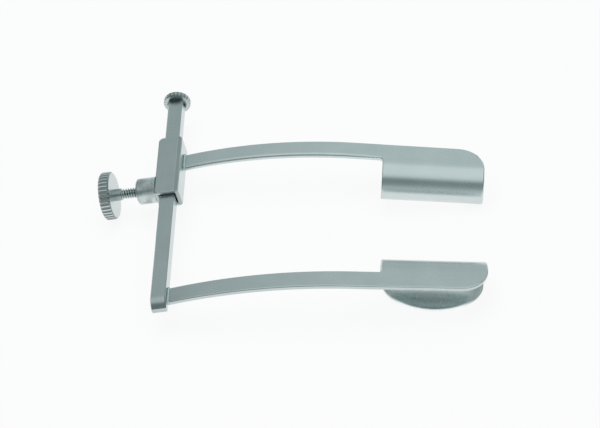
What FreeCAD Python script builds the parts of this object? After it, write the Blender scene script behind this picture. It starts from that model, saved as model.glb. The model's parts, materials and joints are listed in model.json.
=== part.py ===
import FreeCAD, Part
import math
import os

# Self retaining retractor: two arms with hooked blades, spread along a flat rail.
# Millimetres. Every piece is first drawn square to the rail and then laid down as
# the instrument rests on a table.
# Drawing axes: X runs from the rail to the blades, Y along the rail from the fixed
# arm to the stop, Z up out of the rail's top face. The rail's centre line is X = 0,
# Z = 0, and its near end is Y = 0.

# Rail
rail_width = 3.0
rail_height = 2.5
rail_length = 56.6
nose_depth = 1.28          # bevel at the top of the near end, measured along the rail
nose_height = 1.28         # the same bevel, measured down the end
nose_round = 2.20          # rounding between top and bevel
heel_round = 0.30          # rounding of the near end's bottom edge
rail_edge = 0.15           # bevel along the four long edges

# Sleeve that slides on the rail
slide_gap = 0.12           # clearance all round the rail
sleeve_side = 0.85         # wall beside the rail
sleeve_roof = 0.80         # wall above and below the rail
sleeve_length = 15.5
sleeve_place = 28.7        # near end of the sleeve along the rail, as shown
sleeve_near_corner = 0.6   # rounding of its upright corners, near end
sleeve_far_corner = 1.0    # the same, far end
sleeve_edge = 0.25         # rounding of its upper and lower edges
mouth_bevel = 0.20         # bevel round the mouth at both ends

# Boss and thumb screw
boss_radius = 2.6
boss_length = 3.9
boss_bevel = 0.25
boss_seat = 3.2            # screw axis behind the sleeve's near end
screw_radius = 1.1
shank_radius = 0.8         # spindle where it is fixed in the hub and head
screw_gap = 0.06           # clearance of the screw in its tapped bore
tip_gap = 0.05             # end of the loose screw to the rail
tip_bevel = 0.3
screw_show = 3.5           # length of screw between hub and boss
hub_radius = 1.2
hub_length = 1.5
head_radius = 4.8
head_thick = 2.2
head_bevel = 0.3
flute_count = 36
flute_depth = 0.28
flute_radius = 0.30
socket_depth = 1.4         # how far the spindle enters the head
braze_gap = 0.02           # joint line between pieces that are brazed together

# Stop screw in the rail's far end
stop_radius = 2.75
stop_thick = 1.1
stop_bevel = 0.2
stop_recess = 0.8          # how far the rail's end enters the disc
recess_gap = 0.06          # clearance at the rail's corners in the recess
notch_count = 40           # fine notches round the rim
notch_depth = 0.10
notch_radius = 0.14
stud_radius = 0.8
stud_length = 4.0
stud_room = 0.4            # free depth beyond the stud

# Arms: flat spring sheet, arched over the wound
sheet = 0.9
arm_width = 3.6
arm_flare = 0.25           # extra width where the arm meets the blade
arm_reach = 42.7           # rail centre line to the start of the blade
arch_radius = 96.6
root_rise = 6.9            # degrees above level where the arm leaves the rail
blade_fall = 14.2          # degrees below level at the blade
edge_lean = 1.5            # degrees that the arm's outer edge has turned in at the blade
blade_lean = 1.0           # degrees that the blade's rolled edge leans in
root_height = 0.0          # top of the arm at the rail, above the rail's centre
root_braze = 0.6           # fillet of solder on top of the root
fixed_place = 1.3          # outer edge of the fixed arm from the rail's near end
moving_place = 3.8         # outer edge of the moving arm from the sleeve's far end

# Blades: flange, rolled edge, wall and half-moon lip
blade_length = 20.3
flange_flat = 4.6
roll_radius = 5.4          # outside radius of the upper bend
roll_turn = 70.0           # degrees turned on that radius
hook_radius = 2.76         # outside radius of the lower bend
lip_inset = 0.36           # middle of the lip's edge inside the flange's edge
lip_shoulder = 5.2         # ends of the lip's round edge inside the flange's edge
lip_corner = 0.3           # lip's sides stand this far inside each end of the blade
tip_round = 5.2            # free corner of the flange
step_fillet = 0.6          # inner corner between arm and blade


def V(x, y, z):
    return FreeCAD.Vector(x, y, z)


def line(a, b):
    return Part.LineSegment(a, b).toShape()


def arc(a, m, b):
    return Part.Arc(a, m, b).toShape()


def face(edges):
    return Part.Face(Part.Wire(edges))


def box(x0, x1, y0, y1, z0, z1):
    return Part.makeBox(x1 - x0, y1 - y0, z1 - z0, V(x0, y0, z0))


def rod_x(radius, x0, x1, y):
    return Part.makeCylinder(radius, x1 - x0, V(x0, y, 0), V(1, 0, 0))


def rod_y(radius, y0, y1):
    return Part.makeCylinder(radius, y1 - y0, V(0, y0, 0), V(0, 1, 0))


def edges_where(shape, test):
    return [e for e in shape.Edges if test(e)]


def runs_along(edge, axis):
    """True for a straight edge parallel to the axis."""
    if edge.Curve.TypeId != "Part::GeomLine":
        return False
    return abs(abs(edge.tangentAt(edge.FirstParameter).dot(axis)) - 1) < 1e-6


# Places shared by several pieces
half_rail = rail_width / 2
sleeve_half = half_rail + slide_gap + sleeve_side
sleeve_rise = rail_height / 2 + slide_gap + sleeve_roof
sleeve_far = sleeve_place + sleeve_length
screw_y = sleeve_place + boss_seat
boss_end = -(sleeve_half + boss_length)
hub_end = boss_end - screw_show
head_face = hub_end - hub_length
head_back = head_face - head_thick
socket_end = head_face - socket_depth
stop_near = rail_length - stop_recess
stud_end = rail_length - stud_length

# The arch seen from the side: its centre, and the point where it runs out straight
rise = math.radians(root_rise)
fall = math.radians(blade_fall)
arch_x = half_rail + arch_radius * math.sin(rise)
arch_z = root_height - arch_radius * math.cos(rise)
run_x = arch_x + arch_radius * math.sin(fall)
run_z = arch_z + arch_radius * math.cos(fall)
blade_z = run_z - (arm_reach - run_x) * math.tan(fall)

# The arm's outer edge seen from above bends evenly inwards
lean = math.radians(edge_lean)
edge_radius = (arm_reach - half_rail) / math.sin(lean)
edge_shift = edge_radius * (1 - math.cos(lean))
flange_taper = math.tan(math.radians(edge_lean - blade_lean))

# Section of the blade: the two bends' centres, from the flange's outer top edge
turn = math.radians(roll_turn)
hook_y = flange_flat + (roll_radius - hook_radius) * math.sin(turn)
hook_drop = roll_radius - (roll_radius - hook_radius) * math.cos(turn)
blade_depth = hook_drop + hook_radius
blade_width = hook_y + hook_radius


def make_rail():
    top = rail_height / 2
    side = [V(0, rail_length, top), V(0, nose_depth, top), V(0, 0, top - nose_height)]
    side = side + [V(0, 0, -top), V(0, rail_length, -top)]
    bar = face([line(p, q) for p, q in zip(side, side[1:] + side[:1])])
    bar.translate(V(-half_rail, 0, 0))
    bar = bar.extrude(V(rail_width, 0, 0))
    across = lambda e, y, z: runs_along(e, V(1, 0, 0)) and abs(e.CenterOfMass.y - y) + abs(e.CenterOfMass.z - z) < 1e-3
    bar = bar.makeFillet(nose_round, edges_where(bar, lambda e: across(e, nose_depth, top)))
    bar = bar.makeFillet(heel_round, edges_where(bar, lambda e: across(e, 0, -top)))
    flat_side = lambda e: abs(abs(e.CenterOfMass.x) - half_rail) < 1e-3
    bar = bar.makeChamfer(rail_edge, edges_where(bar, lambda e: flat_side(e) and e.CenterOfMass.y < rail_length - 1e-3))
    return bar.cut(rod_y(stud_radius + braze_gap, stud_end - stud_room, rail_length + 1))


def notches(count, depth, radius, rim, y0, y1):
    """Straight round-bottomed notches round a rim whose axis is the rail's."""
    out = rim + radius - depth
    cuts = []
    for i in range(count):
        a = math.radians(i * 360.0 / count)
        cuts.append(Part.makeCylinder(radius, y1 - y0, V(out * math.sin(a), y0, out * math.cos(a)), V(0, 1, 0)))
    return cuts


def make_stop_screw():
    stop_far = stop_near + stop_thick
    disc = rod_y(stop_radius, stop_near, stop_far)
    disc = disc.makeChamfer(stop_bevel, edges_where(disc, lambda e: e.isClosed()))
    disc = disc.cut(notches(notch_count, notch_depth, notch_radius, stop_radius, stop_near - 1, stop_far + 1))
    recess = math.hypot(half_rail, rail_height / 2) + recess_gap
    disc = disc.cut(rod_y(recess, stop_near - 1, rail_length))
    return disc.fuse(rod_y(stud_radius, stud_end, rail_length + (stop_thick - stop_recess) / 2))


def make_sleeve():
    tube = box(-sleeve_half, sleeve_half, sleeve_place, sleeve_far, -sleeve_rise, sleeve_rise)
    upright = lambda e, y: runs_along(e, V(0, 0, 1)) and abs(e.CenterOfMass.y - y) < 1e-3
    tube = tube.makeFillet(sleeve_near_corner, edges_where(tube, lambda e: upright(e, sleeve_place)))
    tube = tube.makeFillet(sleeve_far_corner, edges_where(tube, lambda e: upright(e, sleeve_far)))
    level = lambda e: abs(abs(e.CenterOfMass.z) - sleeve_rise) < 1e-3
    tube = tube.makeFillet(sleeve_edge, edges_where(tube, level))
    mouth_x = half_rail + slide_gap
    mouth_z = rail_height / 2 + slide_gap
    tube = tube.cut(box(-mouth_x, mouth_x, sleeve_place - 1, sleeve_far + 1, -mouth_z, mouth_z))
    ends = lambda e: abs(abs(e.CenterOfMass.y - (sleeve_place + sleeve_far) / 2) - sleeve_length / 2) < 1e-3
    inner = lambda e: abs(e.CenterOfMass.x) < mouth_x + 1e-3 and abs(e.CenterOfMass.z) < mouth_z + 1e-3
    tube = tube.makeChamfer(mouth_bevel, edges_where(tube, lambda e: ends(e) and inner(e)))
    return tube.cut(rod_x(screw_radius + screw_gap, -sleeve_half - 1, 0, screw_y))


def make_boss():
    boss = rod_x(boss_radius, boss_end, -sleeve_half, screw_y)
    outer = lambda e: e.isClosed() and e.CenterOfMass.x < boss_end + 1e-3
    boss = boss.makeChamfer(boss_bevel, edges_where(boss, outer))
    return boss.cut(rod_x(screw_radius + screw_gap, boss_end - 1, 0, screw_y))


def make_spindle():
    stem = rod_x(screw_radius, hub_end + braze_gap, -(half_rail + tip_gap), screw_y)
    tip = lambda e: e.isClosed() and e.CenterOfMass.x > -sleeve_half
    stem = stem.makeChamfer(tip_bevel, edges_where(stem, tip))
    return stem.fuse(rod_x(shank_radius, socket_end + braze_gap, hub_end + tip_bevel, screw_y))


def make_head():
    disc = rod_x(head_radius, head_back, head_face, screw_y)
    disc = disc.makeChamfer(head_bevel, edges_where(disc, lambda e: e.isClosed()))
    # straight flutes round the rim, with a land at the bottom
    pitch = 360.0 / flute_count
    out = head_radius + flute_radius - flute_depth
    flutes = []
    for i in range(flute_count):
        a = math.radians((i + 0.5) * pitch)
        start = V(head_back - 1, screw_y + out * math.sin(a), -out * math.cos(a))
        flutes.append(Part.makeCylinder(flute_radius, head_thick + 2, start, V(1, 0, 0)))
    disc = disc.cut(flutes)
    disc = disc.fuse(rod_x(hub_radius, head_face - head_thick / 2, hub_end, screw_y))
    return disc.cut(rod_x(shank_radius + braze_gap, socket_end, hub_end + 1, screw_y))


def arch_point(angle, drop):
    """Point on the arch at an angle past its crown, a distance below its top."""
    r = arch_radius - drop
    return V(arch_x + r * math.sin(angle), 0, arch_z + r * math.cos(angle))


def arm_sheet(root_x, end):
    """The arched strip seen from the side, from the root to past the blade's start."""
    on_top = lambda x: math.asin((x - arch_x) / arch_radius)
    on_base = lambda x: math.asin((x - arch_x) / (arch_radius - sheet))
    down = V(-math.sin(fall), 0, -math.cos(fall))
    along = V(math.cos(fall), 0, -math.sin(fall))
    crown_0 = arch_point(on_top(root_x + root_braze), 0)
    top_end = arch_point(fall, 0) + along * end
    foot_a = on_base(root_x)
    foot = arch_point(foot_a, sheet)
    heel = V(root_x, 0, crown_0.z + root_braze)
    bend = V(root_x + root_braze, 0, heel.z)
    k = root_braze * math.sqrt(0.5)
    outline = [
        arc(heel, V(bend.x - k, 0, bend.z - k), crown_0),
        arc(crown_0, arch_point(0.5 * fall, 0), arch_point(fall, 0)),
        line(arch_point(fall, 0), top_end),
        line(top_end, top_end + down * sheet),
        line(top_end + down * sheet, arch_point(fall, sheet)),
        arc(arch_point(fall, sheet), arch_point(0.5 * fall, sheet), foot),
        line(foot, heel),
    ]
    strip = face(outline)
    strip.translate(V(0, -1, 0))
    return strip.extrude(V(0, blade_width + 2, 0))


def arm_outline(root_x, past):
    """The arm seen from above, its outer edge starting at Y = 0."""
    mid = lambda x: edge_radius - math.sqrt(edge_radius ** 2 - (x - half_rail) ** 2)
    x_end = arm_reach + past
    inner = edge_shift + arm_width + arm_flare
    x_in = arm_reach - step_fillet
    x_mid = (root_x + arm_reach) / 2
    k = step_fillet * math.sqrt(0.5)
    a = V(root_x, mid(root_x), 0)
    b = V(x_end, mid(x_end) + past * 0.5, 0)
    c = V(x_end, inner + step_fillet, 0)
    d = V(arm_reach, inner + step_fillet, 0)
    e = V(x_in, inner, 0)
    f = V(root_x, mid(root_x) + arm_width, 0)
    start = V(arm_reach, edge_shift, 0)
    outline = [
        arc(a, V(x_mid, mid(x_mid), 0), start),
        line(start, b),
        line(b, c),
        line(c, d),
        arc(d, V(arm_reach - step_fillet + k, inner + step_fillet - k, 0), e),
        arc(e, V(x_mid, mid(x_mid) + arm_width + arm_flare * 0.5, 0), f),
        line(f, a),
    ]
    plan = face(outline)
    plan.translate(V(0, 0, blade_z - blade_depth))
    return plan.extrude(V(0, 0, 2 * blade_depth - blade_z))


def blade_section(inside):
    """Section of the blade in Y (inwards) and Z (up), at X = 0."""
    r1 = roll_radius - inside
    r2 = hook_radius - inside
    on_roll = lambda a: V(0, flange_flat + r1 * math.sin(a), -roll_radius + r1 * math.cos(a))
    on_hook = lambda a: V(0, hook_y + r2 * math.sin(a), -hook_drop + r2 * math.cos(a))
    rest = turn + (math.pi - turn) / 2
    top = V(0, 0, -inside)
    low = V(0, lip_inset, -blade_depth + inside)
    path = [
        line(top, on_roll(0)),
        arc(on_roll(0), on_roll(turn / 2), on_roll(turn)),
        arc(on_roll(turn), on_hook(rest), on_hook(math.pi)),
        line(on_hook(math.pi), low),
    ]
    return top, path, low


def make_blade():
    """Blade with its start at X = 0 and the flange's outer top edge on the X axis."""
    top, skin, low = blade_section(0)
    top_in, lining, low_in = blade_section(sheet)
    blade = face(skin + [line(low, low_in)] + lining[::-1] + [line(top_in, top)])
    blade = blade.extrude(V(blade_length, 0, 0))
    # outer edge of the flange, with its large free corner
    k = tip_round * (1 - math.sqrt(0.5))
    x = blade_length
    y = (x - tip_round) * flange_taper
    trim = face([
        line(V(0, -1, 1), V(x + 1, -1, 1)),
        line(V(x + 1, -1, 1), V(x + 1, y + tip_round, 1)),
        line(V(x + 1, y + tip_round, 1), V(x, y + tip_round, 1)),
        arc(V(x, y + tip_round, 1), V(x - k, y + k, 1), V(x - tip_round, y, 1)),
        line(V(x - tip_round, y, 1), V(0, 0, 1)),
        line(V(0, 0, 1), V(0, -1, 1)),
    ])
    blade = blade.cut(trim.extrude(V(0, 0, -1 - sheet * 1.5)))
    # half-moon edge of the lip, a round arc between two short straight sides
    lip_z = -blade_depth + sheet * 1.2
    end = blade_length - lip_corner
    y = hook_y + lip_corner
    a = V(lip_corner, lip_shoulder, lip_z)
    b = V(blade_length / 2, lip_inset, lip_z)
    c = V(end, lip_shoulder, lip_z)
    moon = face([
        line(V(blade_length, -1, lip_z), V(0, -1, lip_z)),
        line(V(0, -1, lip_z), V(0, y, lip_z)),
        line(V(0, y, lip_z), V(lip_corner, hook_y, lip_z)),
        line(V(lip_corner, hook_y, lip_z), a),
        arc(a, b, c),
        line(c, V(end, hook_y, lip_z)),
        line(V(end, hook_y, lip_z), V(blade_length, y, lip_z)),
        line(V(blade_length, y, lip_z), V(blade_length, -1, lip_z)),
    ])
    return blade.cut(moon.extrude(V(0, 0, -2 * sheet)))


def make_arm(root_x):
    """Arm and blade, one pressed piece, with the arm's outer edge at Y = 0."""
    past = 0.5 * flange_flat
    run_out = (arm_reach - run_x) / math.cos(fall) + past
    arm = arm_sheet(root_x, run_out).common(arm_outline(root_x, past))
    blade = make_blade()
    blade.rotate(V(0, 0, 0), V(0, 0, 1), blade_lean)
    blade.rotate(V(0, 0, 0), V(0, 1, 0), blade_fall)
    blade.translate(V(arm_reach, edge_shift, blade_z))
    return arm.fuse(blade).removeSplitter()


def make_fixed_arm():
    arm = make_arm(half_rail)
    arm.translate(V(0, fixed_place, 0))
    return arm


def make_moving_arm():
    arm = make_arm(sleeve_half).mirror(V(0, 0, 0), V(0, 1, 0))
    arm.translate(V(0, sleeve_far - moving_place, 0))
    return arm


pieces = {
    "rail": make_rail(),
    "stop_screw": make_stop_screw(),
    "fixed_arm": make_fixed_arm(),
    "sleeve": make_sleeve(),
    "boss": make_boss(),
    "moving_arm": make_moving_arm(),
    "screw_spindle": make_spindle(),
    "screw_head": make_head(),
}

# The instrument lies on the ends of its two hooks and on the rim of the thumb screw
hook_end_x = arm_reach + blade_length * math.cos(fall) - blade_depth * math.sin(fall)
hook_end_z = blade_z - blade_length * math.sin(fall) - blade_depth * math.cos(fall)
rim_x = head_back + head_bevel
rim_z = -head_radius
lie = math.degrees(math.atan2(rim_z - hook_end_z, hook_end_x - rim_x))

for shape in pieces.values():
    shape.rotate(V(0, 0, 0), V(0, 1, 0), -lie)

# Origin: on the table, under the middle of the instrument as shown
bounds = [shape.optimalBoundingBox(False, False) for shape in pieces.values()]
mid_x = (min(b.XMin for b in bounds) + max(b.XMax for b in bounds)) / 2
mid_y = (min(b.YMin for b in bounds) + max(b.YMax for b in bounds)) / 2
floor = min(b.ZMin for b in bounds)

os.makedirs("parts", exist_ok=True)
for name, shape in pieces.items():
    shape.translate(V(-mid_x, -mid_y, -floor))
    shape = shape if shape.ShapeType == "Solid" else shape.Solids[0]
    shape.exportStep("parts/" + name + ".step")
    print(name, shape.isValid(), round(shape.Volume, 2), len(shape.Faces))
print("lie", lie, "origin", mid_x, mid_y, floor)
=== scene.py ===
# %% [markdown]
# # A self retaining retractor in steel
# Two arched arms with hooked blades spread along a flat rail: one arm is brazed to the rail,
# the other to a sleeve that slides on it, and a thumb screw holds the sleeve where it stands.
# The solids come ready from the construction, in metres. This lesson gives them their finish,
# presses new arms and blades out of flat sheet, and cuts the thread of the thumb screw.

# %% Load the solids
import bpy
import bmesh
import json
import math
from mathutils import Matrix, Vector

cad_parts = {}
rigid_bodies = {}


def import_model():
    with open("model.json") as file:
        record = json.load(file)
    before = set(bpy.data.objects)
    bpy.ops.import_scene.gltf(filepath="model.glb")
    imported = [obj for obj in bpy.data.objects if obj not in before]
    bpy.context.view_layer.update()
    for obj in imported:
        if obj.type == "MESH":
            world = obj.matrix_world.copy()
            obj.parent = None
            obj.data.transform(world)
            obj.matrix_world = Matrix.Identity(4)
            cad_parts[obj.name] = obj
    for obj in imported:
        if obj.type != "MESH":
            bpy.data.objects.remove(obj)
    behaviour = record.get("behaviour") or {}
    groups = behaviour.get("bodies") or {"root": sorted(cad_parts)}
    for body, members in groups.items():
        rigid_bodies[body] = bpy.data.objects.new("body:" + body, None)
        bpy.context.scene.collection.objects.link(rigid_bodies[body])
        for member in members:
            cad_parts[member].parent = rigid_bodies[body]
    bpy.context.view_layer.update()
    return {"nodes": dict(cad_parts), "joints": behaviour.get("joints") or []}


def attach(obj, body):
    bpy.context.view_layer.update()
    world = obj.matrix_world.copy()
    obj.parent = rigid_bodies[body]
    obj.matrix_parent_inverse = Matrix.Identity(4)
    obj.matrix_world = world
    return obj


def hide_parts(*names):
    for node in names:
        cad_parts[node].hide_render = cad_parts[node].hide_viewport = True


for startup_object in list(bpy.data.objects):
    bpy.data.objects.remove(startup_object)
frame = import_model()
print("solids:", sorted(frame["nodes"]))

# %% [markdown]
# ## Measures, and the two ways to place a point
# An instrument maker draws each piece square to the rail: X from the rail to the blades, Y along
# the rail, Z out of its top face, in millimetres. On the table the whole tool tips by 8.44 degrees,
# because it stands on the two hooks and on the rim of the thumb screw. The frame says where the
# screw's joint lies on the table, and one matrix made from it carries points from the drawing to
# the table. So every new piece is made in the easy frame and laid down last.

# %% Measures in millimetres
SHEET = 0.9
# half the width of the rail and of the sleeve, along X
HALF_RAIL, SLEEVE_HALF = 1.5, 2.47
# places along the rail: the outer edges of the two arms, the screw's axis and the stop
FIXED_EDGE, MOVING_EDGE, SCREW_Y, STOP_Y = 1.3, 40.4, 31.9, 56
# the end of the thumb screw's hub along X, where the bare thread starts
HUB_END = -9.87

# %% From the drawing to the table
screw_joint = next(joint for joint in frame["joints"] if joint["name"] == "screw_turn")
axis_x, _, axis_z = screw_joint["axis"]
LIE = math.atan2(axis_z, axis_x)
LAY = (
    Matrix.Translation(screw_joint["pos_m"])
    @ Matrix.Scale(0.001, 4)
    @ Matrix.Rotation(-LIE, 4, "Y")
    @ Matrix.Translation((-HUB_END, -SCREW_Y, 0))
)
print("the tool lies tipped by", round(math.degrees(LIE), 2), "degrees")


def lay_down(bm, name, body, finish, replaced=()):
    """Turn a finished bmesh into a piece that lies on the table and rides on its body."""
    bmesh.ops.transform(bm, matrix=LAY, verts=bm.verts)
    mesh = bpy.data.meshes.new(name)
    bm.to_mesh(mesh)
    bm.free()
    piece = bpy.data.objects.new(name, mesh)
    bpy.context.scene.collection.objects.link(piece)
    mesh.materials.append(finish)
    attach(piece, body)
    if replaced:
        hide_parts(*replaced)
    print(name, len(mesh.vertices), "vertices", len(mesh.polygons), "faces")
    return piece


# %% [markdown]
# ## Camera
# The picture is taken from the front and above, 47 degrees over the table and 6 degrees to the
# right, with the camera turned a little about its own axis. A long lens half a metre away gives
# the rail its slight narrowing towards the stop.

# %% Camera
camera_data = bpy.data.cameras.new("camera")
camera_data.sensor_width = 36
camera_data.lens = 140.175
camera_data.clip_start = 0.01
camera_data.clip_end = 20
camera = bpy.data.objects.new("camera", camera_data)
camera.location = (0.03452167, -0.31845141, 0.34062008)
camera.rotation_euler = [math.radians(a) for a in (43.21307, 4.06727, 1.60420)]
bpy.context.scene.collection.objects.link(camera)
bpy.context.scene.camera = camera
print("camera stands", round(camera.location.length, 3), "m from the middle of the object")

# %% [markdown]
# ## Table and light
# The tool lies on a plain white table under one broad soft light. Steel shows what stands round
# it, so the sky of the scene is painted by direction, as a tunnel along X: bright overhead, grey
# at the far side, darker at its two open ends, and with a dark card half-way up the side that the
# picture is taken from. The card stands still in the room, and gives round edges and bends their
# dark band. The dark parts are a little bluer than the bright ones, which is where the steel gets
# its cool tone.

# %% Small helpers for node trees


def add(tree, kind, **settings):
    """A node of one kind, with its attributes and input values set by name."""
    node = tree.nodes.new(kind)
    for key, value in settings.items():
        if hasattr(node, key):
            setattr(node, key, value)
        else:
            node.inputs[key.replace("_", " ")].default_value = value
    return node


def rgba(tone):
    """A grey or a colour as four values."""
    return (*tone, 1) if isinstance(tone, tuple) else (tone, tone, tone, 1)


def feed(tree, value, socket):
    """Give a socket its value: the output of a node, a number, a grey or a colour."""
    if isinstance(value, bpy.types.NodeSocket):
        tree.links.new(value, socket)
    elif socket.type == "RGBA":
        socket.default_value = rgba(value)
    else:
        socket.default_value = value


def maths(tree, operation, a, b=None, c=None, clamp=False):
    """A Math node on sockets or plain numbers; returns its output."""
    node = add(tree, "ShaderNodeMath", operation=operation, use_clamp=clamp)
    for value, socket in zip((a, b, c), node.inputs):
        if value is not None:
            feed(tree, value, socket)
    return node.outputs[0]


def mixed(tree, share, a, b, blend="MIX"):
    """A Mix node for two colours, whose sockets are its numbers 6 and 7; returns its colour output."""
    node = add(tree, "ShaderNodeMix", data_type="RGBA", blend_type=blend)
    feed(tree, share, node.inputs[0])
    feed(tree, a, node.inputs[6])
    feed(tree, b, node.inputs[7])
    return node.outputs[2]


def ramp(tree, value, stops, start=0.0, end=1.0):
    """A Color Ramp from start to end through stops, each a place and a grey or a colour."""
    span = end - start
    if (start, end) != (0.0, 1.0):
        value = maths(tree, "MULTIPLY_ADD", value, 1 / span, -start / span)
    node = add(tree, "ShaderNodeValToRGB")
    node.color_ramp.interpolation = "LINEAR"
    elements = node.color_ramp.elements
    while len(elements) < len(stops):
        elements.new(0.5)
    for element, (place, tone) in zip(elements, stops):
        element.position = (place - start) / span
        element.color = rgba(tone)
    tree.links.new(value, node.inputs[0])
    return node.outputs["Color"]


def parts_of(tree, vector):
    """The X, Y and Z of a vector, as sockets by name."""
    node = add(tree, "ShaderNodeSeparateXYZ")
    tree.links.new(vector, node.inputs[0])
    return node.outputs


def from_axis(tree, parts):
    """How far a point lies from the pattern's X axis."""
    y2 = maths(tree, "MULTIPLY", parts["Y"], parts["Y"])
    z2 = maths(tree, "MULTIPLY", parts["Z"], parts["Z"])
    return maths(tree, "SQRT", maths(tree, "ADD", y2, z2))


# %% The sky by direction
# level, from the object towards the camera
NEAR_SIDE = (0.1032, -0.9947, 0)
SKY_STRENGTH = 1.52
world = bpy.data.worlds.new("studio")
world.use_nodes = True
bpy.context.scene.world = world
sky = world.node_tree
sky.nodes.clear()
sky_way = add(sky, "ShaderNodeTexCoord")


def toward(direction):
    """Component of the looked-at direction along this one."""
    dot = add(sky, "ShaderNodeVectorMath", operation="DOT_PRODUCT")
    sky.links.new(sky_way.outputs["Generated"], dot.inputs[0])
    dot.inputs[1].default_value = Vector(direction).normalized()
    return dot.outputs["Value"]


def cool(grey):
    """A grey of the room; the darker it is, the bluer."""
    return (grey * (0.78 + 0.18 * grey), grey, grey)


# degrees over the tunnel: 0 level on the near side, 90 overhead, 180 level on the far side
around = (
    (0, 0.96), (11.7, 0.62), (27, 0.34), (38.7, 0.23), (51.3, 0.24), (60.3, 0.72),
    (70.2, 0.82), (111.6, 0.82), (124.2, 0.66), (133.2, 0.59), (151.2, 0.60), (180, 0.62),
)
over = maths(sky, "DEGREES", maths(sky, "ARCTAN2", toward((0, 0, 1)), toward(NEAR_SIDE)))
tunnel = ramp(sky, over, [(place, cool(grey)) for place, grey in around], 0, 180)
# from the end behind the rail, at -1, to the end past the blades, at 1
lengthwise = [
    (-0.84, 0.16), (-0.60, 0.26), (-0.46, 0.56), (0.08, 0.66),
    (0.44, 0.77), (0.56, 0.70), (0.72, 0.34), (0.90, 0.20),
]
open_ends = ramp(sky, toward((1, 0, 0)), lengthwise, -1, 1)
sky_light = add(sky, "ShaderNodeBackground", Strength=SKY_STRENGTH)
sky.links.new(mixed(sky, 1.0, tunnel, open_ends, "MULTIPLY"), sky_light.inputs["Color"])
sky_seen = add(sky, "ShaderNodeBackground", Strength=1.0, Color=(1, 1, 1, 1))
sky_path = add(sky, "ShaderNodeLightPath")
sky_pick = add(sky, "ShaderNodeMixShader")
sky.links.new(sky_path.outputs["Is Camera Ray"], sky_pick.inputs[0])
sky.links.new(sky_light.outputs[0], sky_pick.inputs[1])
sky.links.new(sky_seen.outputs[0], sky_pick.inputs[2])
sky_out = add(sky, "ShaderNodeOutputWorld")
sky.links.new(sky_pick.outputs[0], sky_out.inputs[0])
print("sky:", len(around), "tones over the tunnel and", len(lengthwise), "along it")

# %% The table, a hair below the tool
TABLE_HALF = 1.5
TABLE_DROP = 0.00002
WHITE_SHARE = 0.90
table_bm = bmesh.new()
bmesh.ops.create_grid(table_bm, x_segments=1, y_segments=1, size=TABLE_HALF)
table_mesh = bpy.data.meshes.new("table")
table_bm.to_mesh(table_mesh)
table_bm.free()
table = bpy.data.objects.new("table", table_mesh)
table.location.z = -TABLE_DROP
bpy.context.scene.collection.objects.link(table)
print("the table is", 2 * TABLE_HALF, "m wide")

# %% Its white: mostly glowing for the eye and in reflections, with enough matt for a faint shadow
table_white = bpy.data.materials.new("table_white")
table_white.use_nodes = True
white = table_white.node_tree
white.nodes.clear()
matt = add(white, "ShaderNodeBsdfDiffuse", Color=(0.86, 0.87, 0.87, 1))
bright = add(white, "ShaderNodeEmission", Color=(1, 1, 1, 1), Strength=1.0)
path = add(white, "ShaderNodeLightPath")
seen = maths(white, "MAXIMUM", path.outputs["Is Camera Ray"], path.outputs["Is Glossy Ray"])
seen = maths(white, "MAXIMUM", seen, path.outputs["Is Transmission Ray"])
both = add(white, "ShaderNodeMixShader")
white.links.new(maths(white, "MULTIPLY", seen, WHITE_SHARE), both.inputs[0])
white.links.new(matt.outputs[0], both.inputs[1])
white.links.new(bright.outputs[0], both.inputs[2])
white_out = add(white, "ShaderNodeOutputMaterial")
white.links.new(both.outputs[0], white_out.inputs[0])
table_mesh.materials.append(table_white)

# %% The broad soft light overhead
lamp_data = bpy.data.lights.new("soft_box", "AREA")
lamp_data.shape = "RECTANGLE"
lamp_data.size = 0.9
lamp_data.size_y = 0.5
lamp_data.energy = 3.2
lamp = bpy.data.objects.new("soft_box", lamp_data)
lamp.location = (-0.15, 0.12, 0.9)
lamp.rotation_euler = (-lamp.location).to_track_quat("-Z", "Y").to_euler()
lamp.visible_glossy = False
bpy.context.scene.collection.objects.link(lamp)
bpy.context.scene.view_settings.view_transform = "Standard"
print("light:", round(lamp_data.energy, 2), "W from", round(lamp.location.z, 2), "m above the table")

# %% [markdown]
# ## Effects that several finishes share
# Satin steel is ground along its length, so its grain is noise stretched many times longer than
# it is wide. Turned steel carries the rings of the lathe instead. Both are handled, which leaves
# soft clouds in the sheen, and both are brighter and smoother where edges have been rubbed.
# Each effect is one group of nodes that gives out masks or heights only; the shader stays in the
# material, where its constant numbers are set.

# %% Group sockets and noise


def new_group(name, inputs, outputs):
    """A shader group with float or vector sockets; returns the group, its input and its output."""
    group = bpy.data.node_groups.new(name, "ShaderNodeTree")
    for label, kind in inputs:
        group.interface.new_socket(label, in_out="INPUT", socket_type=kind)
    for label, kind in outputs:
        group.interface.new_socket(label, in_out="OUTPUT", socket_type=kind)
    return group, add(group, "NodeGroupInput"), add(group, "NodeGroupOutput")


def noise(tree, vector, scale, detail=2.0, roughness=0.5):
    """Noise of this scale on a vector, as one value."""
    node = add(tree, "ShaderNodeTexNoise", Scale=scale, Detail=detail, Roughness=roughness)
    tree.links.new(vector, node.inputs["Vector"])
    return node.outputs["Fac"]


def stretched(tree, vector, scale):
    """The vector scaled along each axis, which draws a pattern out where the scale is small."""
    node = add(tree, "ShaderNodeMapping", Scale=scale)
    tree.links.new(vector, node.inputs["Vector"])
    return node.outputs["Vector"]


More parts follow.
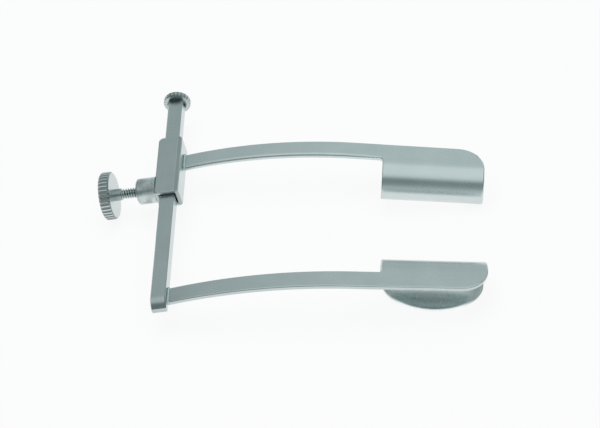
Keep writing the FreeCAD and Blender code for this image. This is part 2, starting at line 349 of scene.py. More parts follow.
# %% Ground grain: lines along X of the incoming vector, in millimetres
grain, grain_in, grain_out = new_group(
    "ground_grain",
    [("Vector", "NodeSocketVector")],
    [("Height", "NodeSocketFloat")],
)
fine = noise(grain, stretched(grain, grain_in.outputs[0], (0.22, 7.5, 7.5)), 1.0, 3.0, 0.6)
broad = noise(grain, stretched(grain, grain_in.outputs[0], (0.12, 3.2, 3.2)), 1.0, 2.0, 0.5)
grain_height = maths(grain, "ADD", maths(grain, "MULTIPLY", fine, 0.7), maths(grain, "MULTIPLY", broad, 0.3))
grain.links.new(grain_height, grain_out.inputs["Height"])

# %% Turning marks: rings about the X axis of the incoming vector, in millimetres
RINGS_PER_MM = 9.0
rings, rings_in, rings_out = new_group(
    "turning_marks",
    [("Vector", "NodeSocketVector")],
    [("Height", "NodeSocketFloat")],
)
split = parts_of(rings, rings_in.outputs[0])
ring_place = add(rings, "ShaderNodeCombineXYZ")
rings.links.new(maths(rings, "MULTIPLY", split["X"], RINGS_PER_MM), ring_place.inputs["X"])
rings.links.new(maths(rings, "MULTIPLY", from_axis(rings, split), RINGS_PER_MM), ring_place.inputs["Y"])
rings.links.new(noise(rings, ring_place.outputs[0], 1.0, 3.0, 0.6), rings_out.inputs["Height"])

# %% Handling: soft clouds and small specks in the sheen, in millimetres
haze, haze_in, haze_out = new_group(
    "handling_haze",
    [("Vector", "NodeSocketVector")],
    [("Cloud", "NodeSocketFloat"), ("Speck", "NodeSocketFloat")],
)
haze.links.new(noise(haze, haze_in.outputs[0], 0.16, 3.0, 0.55), haze_out.inputs["Cloud"])
haze.links.new(noise(haze, haze_in.outputs[0], 5.0, 2.0, 0.6), haze_out.inputs["Speck"])

# %% Rubbed edges: where the surface turns within a short reach
RUBBED_REACH = 0.00018
rubbed, rubbed_in, rubbed_out = new_group(
    "rubbed_edges",
    [("Normal", "NodeSocketVector")],
    [("Mask", "NodeSocketFloat")],
)
soft_turn = add(rubbed, "ShaderNodeBevel", samples=6, Radius=RUBBED_REACH)
agree = add(rubbed, "ShaderNodeVectorMath", operation="DOT_PRODUCT")
rubbed.links.new(soft_turn.outputs[0], agree.inputs[0])
rubbed.links.new(rubbed_in.outputs[0], agree.inputs[1])
edge_mask = ramp(rubbed, agree.outputs["Value"], [(0.80, 1.0), (0.985, 0.0)])
rubbed.links.new(edge_mask, rubbed_out.inputs["Mask"])
print("groups:", [g.name for g in bpy.data.node_groups])

# %% [markdown]
# ## The finishes
# Stainless steel is a cool grey mirror broken up by its grain. The finish reads a place in
# millimetres, either from Object coordinates or, on the pressed arms, from the sheet's own flat
# pattern, so that the grain follows every bend as it does on real strip.

# %% One recipe for steel


def steel(name, colour, dark, roughness, rough_spread, bump, marks, place="Object",
          turn=(0, 0, 0), shift=(0, 0, 0), tint=None, mottle=0.05):
    """Steel with ground grain or turning marks, which are bump micrometres deep.

    place is "Object" or the name of a UV map."""
    material = bpy.data.materials.new(name)
    material.use_nodes = True
    tree = material.node_tree
    shader = tree.nodes["Principled BSDF"]
    shader.inputs["Metallic"].default_value = 1.0
    if place == "Object":
        source = add(tree, "ShaderNodeTexCoord").outputs["Object"]
    else:
        source = add(tree, "ShaderNodeUVMap", uv_map=place).outputs["UV"]
    scaled = add(tree, "ShaderNodeVectorMath", operation="SCALE")
    scaled.inputs["Scale"].default_value = 1000.0 if place == "Object" else 1.0
    tree.links.new(source, scaled.inputs[0])
    centred = add(tree, "ShaderNodeMapping", vector_type="TEXTURE", Location=shift, Rotation=turn)
    tree.links.new(scaled.outputs[0], centred.inputs["Vector"])
    vector = centred.outputs[0]
    mark_node = add(tree, "ShaderNodeGroup", node_tree=marks)
    haze_node = add(tree, "ShaderNodeGroup", node_tree=haze)
    edge_node = add(tree, "ShaderNodeGroup", node_tree=rubbed)
    shape = add(tree, "ShaderNodeNewGeometry")
    tree.links.new(vector, mark_node.inputs["Vector"])
    tree.links.new(vector, haze_node.inputs["Vector"])
    tree.links.new(shape.outputs["Normal"], edge_node.inputs["Normal"])
    mark = mark_node.outputs["Height"]
    cloud = haze_node.outputs["Cloud"]
    speck = haze_node.outputs["Speck"]
    edge = edge_node.outputs["Mask"]
    # colour: darker in the grooves and in the handled clouds, brighter on rubbed edges
    tone = maths(tree, "ADD", maths(tree, "MULTIPLY", mark, 0.5), maths(tree, "MULTIPLY", cloud, 0.5))
    tone = maths(tree, "ADD", tone, maths(tree, "MULTIPLY", maths(tree, "SUBTRACT", speck, 0.5), mottle))
    body = ramp(tree, tone, [(0.34, dark), (0.62, colour)])
    if tint:
        body = mixed(tree, 1.0, body, tint(tree, vector), "MULTIPLY")
    rubbed_colour = tuple(min(1.0, 1.12 * c) for c in colour)
    base = mixed(tree, maths(tree, "MULTIPLY", edge, 0.7), body, rubbed_colour)
    tree.links.new(base, shader.inputs["Base Color"])
    # roughness: clouds and specks open the grain, rubbing closes it
    spread = maths(tree, "ADD", maths(tree, "MULTIPLY", cloud, 0.6), maths(tree, "MULTIPLY", speck, 0.4))
    spread = maths(tree, "MULTIPLY", maths(tree, "SUBTRACT", spread, 0.5), rough_spread)
    rough = maths(tree, "ADD", spread, roughness)
    rough = maths(tree, "SUBTRACT", rough, maths(tree, "MULTIPLY", edge, 0.06), clamp=True)
    tree.links.new(rough, shader.inputs["Roughness"])
    relief = add(tree, "ShaderNodeBump", Strength=1.0, Distance=bump / 1e6)
    tree.links.new(mark, relief.inputs["Height"])
    tree.links.new(relief.outputs[0], shader.inputs["Normal"])
    return material


# %% [markdown]
# ## What is special to one piece
# A tint multiplies the colour of a finish. Each one reads the same place as the grain, in
# millimetres, so its stops are true sizes on the piece: a darker strip along the sleeve's edge,
# the painted highlight on the side of the rail and the sleeve, a painted sheen inside the hooks,
# painted shade between the flutes and in the thread, a darker hub, and painted stripes of light
# and shade round the rim of the stop.

# %% Strip: the rail and the sleeve


def to_blades(tree, vector):
    """The drawing's X on a piece that lies along the rail, where the pattern's Y runs against it."""
    return maths(tree, "MULTIPLY", parts_of(tree, vector)["Y"], -1.0)


def painted_side_highlight(tree, vector):
    """The rail's side towards the blades, from 1.5 mm off its middle, is painted brighter: a painted
    highlight.
    """
    return ramp(tree, to_blades(tree, vector), [(1.44, 1.0), (1.485, 1.22)], -2.5, 2.5)


def edge_strip_and_painted_side(tree, vector):
    """Across the sleeve's top: a lighter line, then a darker strip along its upper edge.

    The side that the blades stand on is painted brighter, a painted highlight."""
    # a lighter line, a darker strip, then the side painted brighter, a painted highlight
    stops = [
        (1.49, 1.0), (1.54, 1.18), (1.59, 1.18), (1.65, 0.84),
        (2.275, 0.82), (2.35, 1.0), (2.425, 1.0), (2.455, 1.24),
    ]
    return ramp(tree, to_blades(tree, vector), stops, -2.5, 2.5)


# %% Sheet: painted sheen inside the hooks, on the flat pattern, where 16.5 mm is the end of the bend
SHEEN_START, SHEEN_HALF, SHEEN_FULL = 12.5, 14.5, 16.5


def painted_lip_light(tree, vector):
    """The hook and the lip inside it are painted lighter, a painted sheen; the lip's two ends are painted
    darker, a painted shade.
    """
    parts = parts_of(tree, vector)
    # painted sheen: the hook grows lighter towards the lip
    lip = ramp(tree, parts["Y"], [(SHEEN_START, 1.0), (SHEEN_HALF, 1.14), (SHEEN_FULL, 1.62)], 0, 30)
    # painted shade at the lip's two ends
    ends = ramp(tree, parts["Y"], [(SHEEN_HALF, 1.0), (SHEEN_FULL, 0.82)], 0, 30)
    middle = ramp(tree, parts["X"], [(44, 0.0), (47, 1.0), (58, 1.0), (61, 0.0)], 0, 100)
    return mixed(tree, middle, ends, lip)


# %% Turned pieces: the thumb screw, its thread, the boss and the stop
STRIPES = 22


def painted_flute_shade_and_dark_hub(tree, vector):
    """Painted shade in the flutes of the thumb screw, and a darker hub."""
    parts = parts_of(tree, vector)
    # painted shade at the bottom of the flutes, 4.5 to 4.7 mm from the axis; the hub darker inside 1.29 mm
    deep_stops = [(1.20, 0.64), (1.29, 1.0), (4.44, 1.0), (4.50, 0.55), (4.68, 0.62), (4.776, 1.0)]
    deep = ramp(tree, from_axis(tree, parts), deep_stops, 0, 6)
    # only on the rim, not on the disc's two faces: 1.5 to 3.7 mm behind the hub's end
    behind = maths(tree, "MULTIPLY", parts["X"], -1.0)
    rim = ramp(tree, behind, [(1.40, 0.0), (1.58, 1.0), (3.62, 1.0), (3.71, 0.0)], 0, 10)
    hub = ramp(tree, behind, [(1.50, 1.0), (1.51, 0.0)], 0, 10)
    return mixed(tree, maths(tree, "MAXIMUM", rim, hub), 1.0, deep)


def painted_thread_shading(tree, vector):
    """Painted shade in the bottom of the thread, and a painted highlight on its crests."""
    radius = from_axis(tree, parts_of(tree, vector))
    # darker valleys are painted shade, lighter crests a painted highlight
    return ramp(tree, radius, [(0.74, 0.34), (0.90, 0.62), (1.06, 1.35)], 0, 2)


def heat_skin(tree, vector):
    """Patches of dull skin that the brazing heat left on the boss."""
    return ramp(tree, noise(tree, vector, 0.55), [(0.36, 0.74), (0.60, 1.10)])


def painted_knurl_light(tree, vector):
    """Painted shade and painted highlight by turns round the rim of the stop, in stripes."""
    parts = parts_of(tree, vector)
    turned = maths(tree, "DIVIDE", maths(tree, "ARCTAN2", parts["Z"], parts["Y"]), math.tau)
    tooth = maths(tree, "FRACT", maths(tree, "MULTIPLY", turned, STRIPES))
    # dark stripes are painted shade, bright ones a painted highlight
    stripes = ramp(tree, tooth, [(0.10, 1.15), (0.30, 0.64), (0.70, 0.64), (0.90, 1.15)])
    on_rim = ramp(tree, from_axis(tree, parts), [(2.28, 0.0), (2.52, 1.0)], 0, 4)
    return mixed(tree, on_rim, 1.0, stripes)


# %% Where the patterns start, and which way they run
RAIL_START = tuple(1000 * c for c in LAY @ Vector((0, 0, 0)))
SCREW_START = tuple(1000 * c for c in LAY @ Vector((HUB_END, SCREW_Y, 0)))
STOP_START = tuple(1000 * c for c in LAY @ Vector((0, STOP_Y, 0)))
ACROSS = (0, -LIE, 0)
ALONG = tuple((Matrix.Rotation(-LIE, 3, "Y") @ Matrix.Rotation(math.radians(90), 3, "Z")).to_euler())
print("the patterns of the thumb screw start at", [round(c, 2) for c in SCREW_START], "mm")

# %% The finishes of this object
STRIP, STRIP_DARK = (0.55, 0.61, 0.61), (0.49, 0.55, 0.55)
# the tints of the rail and the sleeve paint their sides towards the blades brighter, a painted highlight
rail_steel = steel(
    "rail_steel", STRIP, STRIP_DARK, roughness=0.27, rough_spread=0.10, bump=3.5, marks=grain,
    turn=ALONG, shift=RAIL_START, tint=painted_side_highlight,
)
sleeve_steel = steel(
    "sleeve_steel", STRIP, STRIP_DARK, roughness=0.29, rough_spread=0.10, bump=3.5, marks=grain,
    turn=ALONG, shift=RAIL_START, tint=edge_strip_and_painted_side,
)
fixed_sheet = steel(
    "fixed_sheet", (0.61, 0.675, 0.675), (0.55, 0.61, 0.61), roughness=0.27, rough_spread=0.08,
    bump=1.5, marks=grain, place="flat_pattern", tint=painted_lip_light,
)
# the same sheet steel as the fixed arm, painted lighter: painted light on the moving arm
moving_sheet_painted_lighter = steel(
    "moving_sheet_painted_lighter", (0.68, 0.75, 0.75), (0.62, 0.69, 0.69), roughness=0.27, rough_spread=0.08,
    bump=1.5, marks=grain, place="flat_pattern", tint=painted_lip_light,
)
head_turned = steel(
    "head_turned", (0.68, 0.75, 0.75), (0.56, 0.63, 0.63), roughness=0.30, rough_spread=0.14,
    bump=4, marks=rings, turn=ACROSS, shift=SCREW_START, tint=painted_flute_shade_and_dark_hub, mottle=0.3,
)
boss_turned = steel(
    "boss_turned", (0.64, 0.71, 0.71), (0.46, 0.53, 0.53), roughness=0.38, rough_spread=0.20,
    bump=6, marks=rings, turn=ACROSS, shift=SCREW_START, tint=heat_skin, mottle=0.6,
)
thread_cut = steel(
    "thread_cut", (0.62, 0.69, 0.69), (0.52, 0.59, 0.59), roughness=0.26, rough_spread=0.14,
    bump=2, marks=rings, turn=ACROSS, shift=SCREW_START, tint=painted_thread_shading, mottle=0.3,
)
stop_turned = steel(
    "stop_turned", (0.62, 0.69, 0.69), (0.46, 0.53, 0.53), roughness=0.34, rough_spread=0.10,
    bump=4, marks=rings, turn=ALONG, shift=STOP_START, tint=painted_knurl_light, mottle=0.6,
)
solder = steel(
    "solder", (0.72, 0.78, 0.78), (0.56, 0.63, 0.63), roughness=0.42, rough_spread=0.20,
    bump=8, marks=rings, turn=ACROSS, shift=RAIL_START, mottle=0.5,
)
for node, finish in (
    ("rail", rail_steel),
    ("sleeve", sleeve_steel),
    ("boss", boss_turned),
    ("screw_head", head_turned),
    ("stop_screw", stop_turned),
):
    frame["nodes"][node].material_slots[0].material = finish
print("finishes:", [m.name for m in bpy.data.materials])

# %% [markdown]
# ## Arms and blades, pressed from one sheet
# The real arm starts as flat strip with a wide end. The strip is arched over the wound, the wide
# end is rolled down into a wall and turned back under into a half-moon lip. Here the same is done
# with a flat grid: its outline is cut first, with the rows and columns following the edge, then
# the grid is bent, thickened to 0.9 mm and its edges are broken. A grid keeps long even faces in
# the bends, which is what makes the reflections run clean along them.

# %% The section of the blade: a flange, a roll of 70 degrees, a hook and a flat lip
BLADE = 20.3
FLANGE = 4.6
ROLL, ROLL_TURN = 5.4, math.radians(70)
HOOK = 2.76
HOOK_Y = FLANGE + (ROLL - HOOK) * math.sin(ROLL_TURN)
HOOK_DROP = ROLL - (ROLL - HOOK) * math.cos(ROLL_TURN)
DEPTH = HOOK_DROP + HOOK
ROLL_END = FLANGE + ROLL * ROLL_TURN
HOOK_END = ROLL_END + HOOK * (math.pi - ROLL_TURN)
LIP_EDGE, LIP_CORNER, LIP_SHOULDER = 0.36, 0.3, 5.2
LIP_END = HOOK_END + HOOK_Y - LIP_EDGE


def section(s):
    """Place across the blade (Y, Z) after following its outer skin for s millimetres."""
    if s <= FLANGE:
        return s, 0.0
    if s <= ROLL_END:
        a = (s - FLANGE) / ROLL
        return FLANGE + ROLL * math.sin(a), -ROLL + ROLL * math.cos(a)
    if s <= HOOK_END:
        a = ROLL_TURN + (s - ROLL_END) / HOOK
        return HOOK_Y + HOOK * math.sin(a), -HOOK_DROP + HOOK * math.cos(a)
    return HOOK_Y - (s - HOOK_END), -DEPTH


print("flat width of the blade:", round(LIP_END, 2), "mm, depth", round(DEPTH, 2), "mm")

# %% Shares and chains of points


def lerp(a, b, t):
    """The value at share t of the way from a to b."""
    return a + (b - a) * t


def share_between(a, b, x):
    """How far x has come on its way from a to b, from 0 to 1."""
    return min(1.0, max(0.0, (x - a) / (b - a)))


def chain_point(points, u):
    """The point at share u of a chain of points, equal steps per point."""
    place = u * (len(points) - 1)
    i = min(int(place), len(points) - 2)
    return Vector(points[i]).lerp(Vector(points[i + 1]), place - i)


def patch(first, last, left, right, u, v):
    """A point inside four edges that meet at their ends (a Coons patch)."""
    across = chain_point(first, u) * (1 - v) + chain_point(last, u) * v
    along = chain_point(left, v) * (1 - u) + chain_point(right, v) * u
    corners = (Vector(first[0]) * (1 - u) + Vector(first[-1]) * u) * (1 - v)
    corners = corners + (Vector(last[0]) * (1 - u) + Vector(last[-1]) * u) * v
    return across + along - corners


# %% The flat outline of the flange
ARM_WIDTH, ARM_FLARE, STEP = 3.6, 0.25, 0.6
STEP_Y = ARM_WIDTH + ARM_FLARE + STEP
CORNER = 5.2
FLAT_END = CORNER + 0.2
TAPER = math.tan(math.radians(0.5))
COLUMNS = 28
RIM = 0.45
STATIONS = [0.0] + [RIM + (BLADE - 2 * RIM) * i / (COLUMNS - 2) for i in range(COLUMNS - 1)] + [BLADE]


def corner_point(degrees):
    """Point of the flange's round corner, at this turn from its long edge."""
    a = math.radians(degrees)
    return BLADE - CORNER + CORNER * math.sin(a), CORNER * (1 - math.cos(a))


def flange_grid(shares):
    """Rows of the flange, and the four edges of its patch, for rows at these shares of the arm.

    The first half of the corner belongs to the long edge, the second half to the free end."""
    rows = [STEP_Y * share for share in shares] + [(STEP_Y + FLAT_END) / 2, FLAT_END]
    # degrees round the corner, closer together where the two edges of the patch meet
    turns = (8, 16, 24, 31, 36, 40.5, 45)
    plain = COLUMNS - len(turns)
    first = [(0, 0)] + [(RIM + (BLADE - CORNER - RIM) * i / (plain - 1), 0) for i in range(plain)]
    first += [corner_point(degrees) for degrees in turns]
    free = [corner_point(45 + 45 * i / (len(rows) - 2)) for i in range(len(rows) - 1)]
    free.append((BLADE, FLAT_END))
    last = [(x, FLAT_END) for x in STATIONS]
    start = [(0, s) for s in rows]
    return rows, first, last, start, free


# %% The flat outline of the lip: a half-moon between two soft shoulders
LIP_ROWS = 11
NARROWING = 3.2
MOON_BREAK = math.radians(40)
LIP_DROP = LIP_SHOULDER - LIP_EDGE
LIP_START = HOOK_END - LIP_CORNER
MOON = ((BLADE / 2 - LIP_CORNER) ** 2 + LIP_DROP ** 2) / (2 * LIP_DROP)


def moon_point(angle):
    """Point of the half-moon edge, at this turn from its deepest point."""
    return BLADE / 2 + MOON * math.sin(angle), LIP_END - MOON * (1 - math.cos(angle))


def drawn_in(x, s):
    """The hook narrows softly to the width at which the lip starts."""
    u = share_between(LIP_START - NARROWING, LIP_START, s)
    return BLADE / 2 + (x - BLADE / 2) * (1 - 2 * LIP_CORNER / BLADE * u * u)


hook_row = [(drawn_in(x, LIP_START), LIP_START) for x in STATIONS]
edge_row = [moon_point(MOON_BREAK * (2 * x / BLADE - 1)) for x in STATIONS]
top, shoulder = Vector((LIP_CORNER, HOOK_END)), Vector((LIP_CORNER, LIP_END - LIP_DROP))
moon_start = Vector(moon_point(-MOON_BREAK))
left_side = [(LIP_CORNER, LIP_START)]
for i in range(LIP_ROWS):
    u = i / (LIP_ROWS - 1)
    left_side.append(tuple(top * (1 - u) ** 2 + shoulder * 2 * u * (1 - u) + moon_start * u ** 2))
right_side = [(BLADE - x, s) for x, s in left_side]
print("half-moon radius", round(MOON, 2), "mm; points down its side:", len(left_side))

# %% The arm seen from the side and from above
REACH = 42.7
ARCH = 96.6
RISE, FALL = math.radians(6.9), math.radians(14.2)
ARCH_X = HALF_RAIL + ARCH * math.sin(RISE)
ARCH_Z = -ARCH * math.cos(RISE)
RUN_X = ARCH_X + ARCH * math.sin(FALL)
RUN_Z = ARCH_Z + ARCH * math.cos(FALL)
BLADE_Z = RUN_Z - (REACH - RUN_X) * math.tan(FALL)
EDGE_LEAN, BLADE_LEAN = math.radians(1.5), math.radians(1.0)
EDGE = (REACH - HALF_RAIL) / math.sin(EDGE_LEAN)
EDGE_SHIFT = EDGE * (1 - math.cos(EDGE_LEAN))
PLACE_BLADE = (
    Matrix.Translation((REACH, EDGE_SHIFT, BLADE_Z))
    @ Matrix.Rotation(FALL, 4, "Y")
    @ Matrix.Rotation(BLADE_LEAN, 4, "Z")
)


def arch_height(x):
    """Top of the arm above the rail's centre."""
    if x < RUN_X:
        return ARCH_Z + math.sqrt(ARCH ** 2 - (x - ARCH_X) ** 2)
    return RUN_Z - (x - RUN_X) * math.tan(FALL)


def outer_edge(x):
    """Y of the arm's outer edge, a long arc that leans away from the rail's square."""
    return EDGE - math.sqrt(EDGE ** 2 - (x - HALF_RAIL) ** 2)


def on_blade(x, s):
    """Point of the flat blade after bending and placing."""
    y, z = section(s)
    if s < FLANGE:
        y += x * TAPER * (1 - s / FLANGE)
    return PLACE_BLADE @ Vector((x, y, z))


LEAN_BACK = REACH - on_blade(0, STEP_Y).x


def on_arm(x, share):
    """Point of the arm at a share of its width from the outer edge.

    Towards the blade the columns lean back with the blade's own start."""
    width = ARM_WIDTH + ARM_FLARE * (x - HALF_RAIL) / (REACH - HALF_RAIL)
    past = x - (REACH - STEP)
    if past > 0:
        width += STEP - math.sqrt(max(0.0, STEP ** 2 - past ** 2))
    y = outer_edge(x) + share * width
    x -= LEAN_BACK * share * share_between(REACH - 6, REACH - 1, x)
    return Vector((x, y, arch_height(x)))


print("the arm ends at height", round(BLADE_Z, 3), "mm")

# %% Grids that follow the flat outline, bent into place
ARM_STEPS, CORNER_STEPS = 46, 6
ROLL_ROWS, HOOK_ROWS = 16, 20


def blade_grid(bm, shares, flat):
    """The blade from its flange to its lip; flat gets each vertex's place on the flat sheet."""
    rows_s, first_row, roll_row, start_end, free_end = flange_grid(shares)
    roll_start = len(rows_s) - 1
    hook_start = roll_start + ROLL_ROWS
    lip_start = hook_start + HOOK_ROWS
    rows = lip_start + LIP_ROWS
    for v in bmesh.ops.create_grid(bm, x_segments=COLUMNS, y_segments=rows, size=1.0)["verts"]:
        i = round((v.co.x + 1) / 2 * COLUMNS)
        j = round((v.co.y + 1) / 2 * rows)
        x = STATIONS[i]
        if j <= roll_start:
            x, s = patch(first_row, roll_row, start_end, free_end, i / COLUMNS, j / roll_start)
        elif j <= hook_start:
            s = lerp(FLAT_END, ROLL_END, (j - roll_start) / ROLL_ROWS)
        elif j <= lip_start:
            s = lerp(ROLL_END, LIP_START, (j - hook_start) / HOOK_ROWS)
            x = drawn_in(x, s)
        else:
            down = (j - lip_start) / LIP_ROWS
            x, s = patch(hook_row, edge_row, left_side, right_side, i / COLUMNS, down)
        flat[v] = (REACH + x, s)
        v.co = on_blade(x, s)


def arm_grid(bm, shares, root_x, flat):
    """The arm from its root to the blade; flat gets each vertex's place on the flat sheet."""
    neck = REACH - STEP
    columns = [lerp(root_x, neck, i / ARM_STEPS) for i in range(ARM_STEPS + 1)]
    columns += [neck + STEP * i / CORNER_STEPS for i in range(1, CORNER_STEPS + 1)]
    last, rows = len(columns) - 1, len(shares) - 1
    for v in bmesh.ops.create_grid(bm, x_segments=last, y_segments=rows, size=1.0)["verts"]:
        i = round((v.co.x + 1) / 2 * last)
        share = shares[round((v.co.y + 1) / 2 * rows)]
        x = columns[i]
        if i > ARM_STEPS:
            # the inner edge follows the round corner, the outer one keeps even steps
            turn = math.radians(90 * (i - ARM_STEPS) / CORNER_STEPS)
            x = lerp(x, neck + STEP * math.sin(turn), share ** 2)
        flat[v] = (x, share * STEP_Y)
        v.co = on_blade(0, share * STEP_Y) if i == last else on_arm(x, share)


# %% [markdown]
# ## Softly broken edges
# The edges of the real sheet are softly broken, but not all by the same amount. The lip is ground
# thin towards its rim, each arm has one upper edge that is rounder than its others, and the free
# end of each blade is rounder than its long edges. A Bevel modifier can do all of that at once when
# each edge carries its own weight, so the bmesh writes down how far each one is to be rounded.

# %% Thin the lip and note the softness of the edges
GRIND_WIDTH, GRIND_DEPTH = 3.2, 0.24
BROADEST = 0.7
LIP_SOFT, ARM_SOFT, NECK_SOFT, BLADE_SOFT = 0.15, 0.14, 0.16, 0.2
END_BAND, END_EXTRA = 0.6, 0.14
SHARP = math.radians(50)


def grind_lip(bm):
    """Thin the flat lip towards its half-moon rim, on its upper skin alone."""
    back = PLACE_BLADE.inverted()
    for v in bm.verts:
        x, y, z = back @ v.co
        if abs(z + DEPTH - SHEET) > 0.02 or y > HOOK_Y - 0.3 or x < 0:
            continue
        inside = MOON - math.hypot(x - BLADE / 2, y - LIP_EDGE - MOON)
        near_rim = 1 - share_between(0, GRIND_WIDTH, inside)
        v.co = PLACE_BLADE @ Vector((x, y, z - GRIND_DEPTH * near_rim ** 2))


def blade_softness(place):
    """The blade's free end is rounded more than the rest, from the end of its corner to the lip."""
    if BLADE - place.x > END_BAND:
        return BLADE_SOFT
    past_corner = share_between(CORNER - 0.8, CORNER + 0.7, place.y)
    above_lip = share_between(0.6, 2.1, place.z + DEPTH)
    return BLADE_SOFT + END_EXTRA * past_corner * above_lip


def softness(middle, place, round_side, round_by):
    """How far an edge is rounded, from its middle on the drawing and its place on the blade."""
    # first the rim of the lip, then the rest of the blade, and what is left is the arm
    if place.z < -DEPTH + 1.1 * SHEET and place.y < HOOK_Y - 0.5 and place.x > 0.1:
        return LIP_SOFT
    if middle.x >= REACH - STEP:
        return blade_softness(place)
    is_top = middle.z > arch_height(middle.x) - SHEET / 2
    side = "outer" if middle.y - outer_edge(middle.x) < ARM_WIDTH / 2 else "inner"
    if is_top and side == round_side:
        return lerp(NECK_SOFT, round_by, share_between(REACH - 1.2, REACH - 4.2, middle.x))
    return ARM_SOFT


def note_softness(bm, round_side, round_by):
    """Write on every sharp edge how far it is to be rounded, as a share of the broadest."""
    weight = bm.edges.layers.float.new("bevel_weight_edge")
    back = PLACE_BLADE.inverted()
    for e in bm.edges:
        if len(e.link_faces) == 2 and e.calc_face_angle(0) >= SHARP:
            middle = (e.verts[0].co + e.verts[1].co) / 2
            e[weight] = softness(middle, back @ middle, round_side, round_by) / BROADEST


# %% Press both arms


def smooth(bm):
    """Shade every face as part of one smooth skin."""
    for f in bm.faces:
        f.smooth = True


def press_arm(name, body, finish, root_x, edge_y, mirrored, rows_mm, round_side, round_by):
    """The whole pressed piece: flat grids, bends, thickness, thinned lip, broken edges.

    rows_mm are the rows along the arm, from its outer edge; round_side is the rounder upper edge."""
    shares = [0] + [mm / ARM_WIDTH for mm in rows_mm] + [1]
    bm = bmesh.new()
    uv = bm.loops.layers.uv.new("flat_pattern")
    flat = {}
    blade_grid(bm, shares, flat)
    arm_grid(bm, shares, root_x, flat)
    for f in bm.faces:
        for loop in f.loops:
            loop[uv].uv = flat[loop.vert]
    bmesh.ops.remove_doubles(bm, verts=bm.verts, dist=0.002)
    bmesh.ops.recalc_face_normals(bm, faces=bm.faces)
    if sum(f.normal.z for f in bm.faces if f.calc_center_median().x < RUN_X) < 0:
        bmesh.ops.reverse_faces(bm, faces=bm.faces)
    bmesh.ops.solidify(bm, geom=bm.faces[:], thickness=SHEET)
    bm.normal_update()
    grind_lip(bm)
    bm.normal_update()
    note_softness(bm, round_side, round_by)
    if mirrored:
        bmesh.ops.scale(bm, vec=(1, -1, 1), verts=bm.verts)
        bmesh.ops.reverse_faces(bm, faces=bm.faces)
    bmesh.ops.translate(bm, vec=(0, edge_y, 0), verts=bm.verts)
    smooth(bm)
    piece = lay_down(bm, name + "_sheet", body, finish, [name])
    soften = piece.modifiers.new("broken_edges", "BEVEL")
    soften.limit_method = "WEIGHT"
    soften.width = BROADEST / 1000
    soften.segments = 4
    soften.profile = 0.5
    soften.use_clamp_overlap = False


press_arm(
    "fixed_arm", "frame", fixed_sheet, HALF_RAIL, FIXED_EDGE, False,
    rows_mm=(0.38, 1.3, 2.3, 3.35), round_side="outer", round_by=0.30,
)
press_arm(
    "moving_arm", "slider", moving_sheet_painted_lighter, SLEEVE_HALF, MOVING_EDGE, True,
    rows_mm=(0.25, 1.2, 2.0, 2.82), round_side="inner", round_by=0.62,
)

# %% [markdown]
# ## Solder at the arm roots
# Each arm is soldered to the side of the bar that carries it. The solder stands in the corner as
# a thin bead, a little wider than the arm, and ends in a round drop. A ring is drawn along the
# joint in short steps and swells and shrinks on the way, so that no two stretches are alike.

# %% A bead of solder
BEAD, BEAD_STEPS = 0.30, 30
BEAD_OUT, BEAD_UP, BEAD_PAST = 0.25, 0.10, 0.15


def bead_radius(u, drop):
    """Radius at share u of the bead: round ends, small lumps, and a drop at the share drop."""
    ends = min(1.0, math.sqrt(max(0.0, min(u, 1 - u)) / 0.05 + 0.02))
    lumps = 0.05 * math.sin(31 * u) + 0.04 * math.sin(53 * u + 1)
    swell = 0.16 * math.exp(-((u - drop) / 0.07) ** 2)
    return BEAD * ends * (1 + lumps + swell)


def solder_bead(name, body, root_x, y0, y1, drop):
    """A bead along Y in the corner between an arm's top and the bar beside it."""
    bm = bmesh.new()
    start = Vector((root_x + BEAD_OUT, y0, arch_height(root_x + BEAD_OUT) + BEAD_UP))
    place = Matrix.Translation(start) @ Matrix.Rotation(math.radians(90), 4, "X")
    bmesh.ops.create_circle(bm, segments=18, radius=bead_radius(0, drop), matrix=place)
    edges = bm.edges[:]
    for i in range(1, BEAD_STEPS + 1):
        grown = bmesh.ops.extrude_edge_only(bm, edges=edges)["geom"]
        ring = [g for g in grown if isinstance(g, bmesh.types.BMVert)]
        edges = [g for g in grown if isinstance(g, bmesh.types.BMEdge) and all(v in ring for v in g.verts)]
        bmesh.ops.translate(bm, vec=(0, (y1 - y0) / BEAD_STEPS, 0), verts=ring)
        centre = start + Vector((0, (y1 - y0) * i / BEAD_STEPS, 0))
        size = bead_radius(i / BEAD_STEPS, drop) / bead_radius((i - 1) / BEAD_STEPS, drop)
        bmesh.ops.scale(bm, vec=(size, 1, size), verts=ring, space=Matrix.Translation(-centre))
    bmesh.ops.holes_fill(bm, edges=[e for e in bm.edges if e.is_boundary], sides=0)
    bmesh.ops.recalc_face_normals(bm, faces=bm.faces)
    smooth(bm)
    lay_down(bm, name, body, solder)


fixed_span = (FIXED_EDGE - BEAD_PAST, FIXED_EDGE + ARM_WIDTH + BEAD_PAST)
moving_span = (MOVING_EDGE - ARM_WIDTH - BEAD_PAST, MOVING_EDGE + BEAD_PAST)
solder_bead("fixed_arm_solder", "frame", HALF_RAIL, *fixed_span, drop=0.12)
solder_bead("moving_arm_solder", "slider", SLEEVE_HALF, *moving_span, drop=0.9)

# %% [markdown]
# ## Solder round the boss
# The boss is soldered to the sleeve's flat side. It stands higher than the sleeve, so the solder
# fills the corner only at its two sides and runs out to nothing above and below. A hollow profile
# is spun once round the screw's axis, and then drawn in where the corner ends.

# %% The ring of solder
FILL, BOSS_RADIUS = 0.34, 2.6
UNDER_BOSS = BOSS_RADIUS - 0.1
IN_SLEEVE = -SLEEVE_HALF + 0.02
LEAST_REACH = 0.08


def draw_profile(bm, places, closed):
    """Vertices through these places and the edges between them, ready to be spun."""
    points = [bm.verts.new(place) for place in places]
    followers = points[1:] + points[:1] if closed else points[1:]
    return points + [bm.edges.new(pair) for pair in zip(points, followers)]


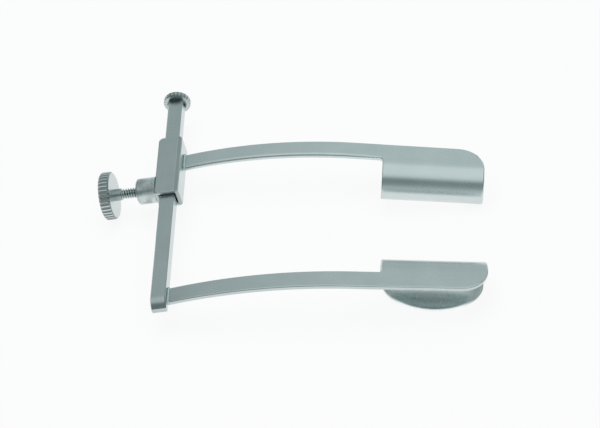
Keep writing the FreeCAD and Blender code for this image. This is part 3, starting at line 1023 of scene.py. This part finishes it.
bm = bmesh.new()
chain = [(IN_SLEEVE, UNDER_BOSS), (IN_SLEEVE, BOSS_RADIUS + FILL)]
for i in range(6):
    a = math.radians(90 * i / 5)
    chain.append((-SLEEVE_HALF - FILL * (1 - math.cos(a)), BOSS_RADIUS + FILL * (1 - math.sin(a))))
chain.append((-SLEEVE_HALF - FILL, UNDER_BOSS))
profile = draw_profile(bm, [(x, SCREW_Y + r, 0) for x, r in chain], closed=True)
bmesh.ops.spin(bm, geom=profile, cent=(0, SCREW_Y, 0), axis=(1, 0, 0), angle=math.tau, steps=64,
               use_merge=True, use_duplicate=False)
bmesh.ops.remove_doubles(bm, verts=bm.verts, dist=0.001)
for v in bm.verts:
    y, z = v.co.y - SCREW_Y, v.co.z
    r, a = math.hypot(y, z), math.atan2(z, y)
    u = share_between(0.62, 0.88, abs(math.cos(a)))
    lumps = 1 + 0.06 * math.sin(9 * a) + 0.05 * math.sin(17 * a + 2)
    reach = LEAST_REACH + (1 - LEAST_REACH) * u * u * (3 - 2 * u) * lumps
    r_new = UNDER_BOSS + (r - UNDER_BOSS) * reach
    x_new = -SLEEVE_HALF + (v.co.x + SLEEVE_HALF) * reach
    v.co = (x_new, SCREW_Y + r_new * math.cos(a), r_new * math.sin(a))
bmesh.ops.recalc_face_normals(bm, faces=bm.faces)
smooth(bm)
lay_down(bm, "boss_solder", "slider", solder)

# %% [markdown]
# ## The thread of the thumb screw
# A thread is one tooth carried round the stem, climbing by one pitch at each turn. The spin
# operator does just that when it also gets a small step along the axis: the profile of one tooth
# goes round many times, neighbouring turns are merged, and two cuts give the stem its ends.

# %% Spin the thread
PITCH, CREST, ROOT, CREST_ROUND = 0.5, 1.1, 0.70, 0.03
TURNS, TURN_STEPS = 20, 28
THREAD_START = HUB_END - 1.2
tooth = [
    (0.0, ROOT), (0.06, ROOT), (0.21, CREST - CREST_ROUND), (0.25, CREST),
    (0.29, CREST - CREST_ROUND), (0.44, ROOT), (PITCH, ROOT),
]
bm = bmesh.new()
profile = draw_profile(bm, [(THREAD_START + x, SCREW_Y, r) for x, r in tooth], closed=False)
bmesh.ops.spin(bm, geom=profile, cent=(0, SCREW_Y, 0), axis=(1, 0, 0), dvec=(PITCH / TURN_STEPS, 0, 0),
               angle=math.tau * TURNS, steps=TURN_STEPS * TURNS, use_merge=False, use_duplicate=False)
bmesh.ops.remove_doubles(bm, verts=bm.verts, dist=0.004)


def cut_square(bm, x, way):
    """Cut the thread off square at x, on the side that way points to, and close the end."""
    everything = bm.verts[:] + bm.edges[:] + bm.faces[:]
    bmesh.ops.bisect_plane(bm, geom=everything, dist=0.0001,
                           plane_co=(x, 0, 0), plane_no=(way, 0, 0), clear_outer=True)
    rim = [e for e in bm.edges if e.is_boundary and all(abs(v.co.x - x) < 0.001 for v in e.verts)]
    bmesh.ops.holes_fill(bm, edges=rim, sides=0)


cut_square(bm, HUB_END + 0.02, -1)
cut_square(bm, -HALF_RAIL - 0.05, 1)
print("open edges left on the thread:", sum(e.is_boundary for e in bm.edges))

# %% The plain shank inside the head, and the screw laid down
SHANK_MIDDLE, SHANK_RADIUS, SHANK_LENGTH = -11.15, 0.8, 3.2
shank = Matrix.Translation((SHANK_MIDDLE, SCREW_Y, 0)) @ Matrix.Rotation(math.radians(90), 4, "Y")
bmesh.ops.create_cone(bm, cap_ends=True, segments=28, radius1=SHANK_RADIUS, radius2=SHANK_RADIUS,
                      depth=SHANK_LENGTH, matrix=shank)
bmesh.ops.recalc_face_normals(bm, faces=bm.faces)
for f in bm.faces:
    # the flat ends and the shank's long sides keep their edges
    f.smooth = len(f.verts) < 8 and f.calc_area() < 0.2
lay_down(bm, "screw_thread", "screw", thread_cut, ["screw_spindle"])
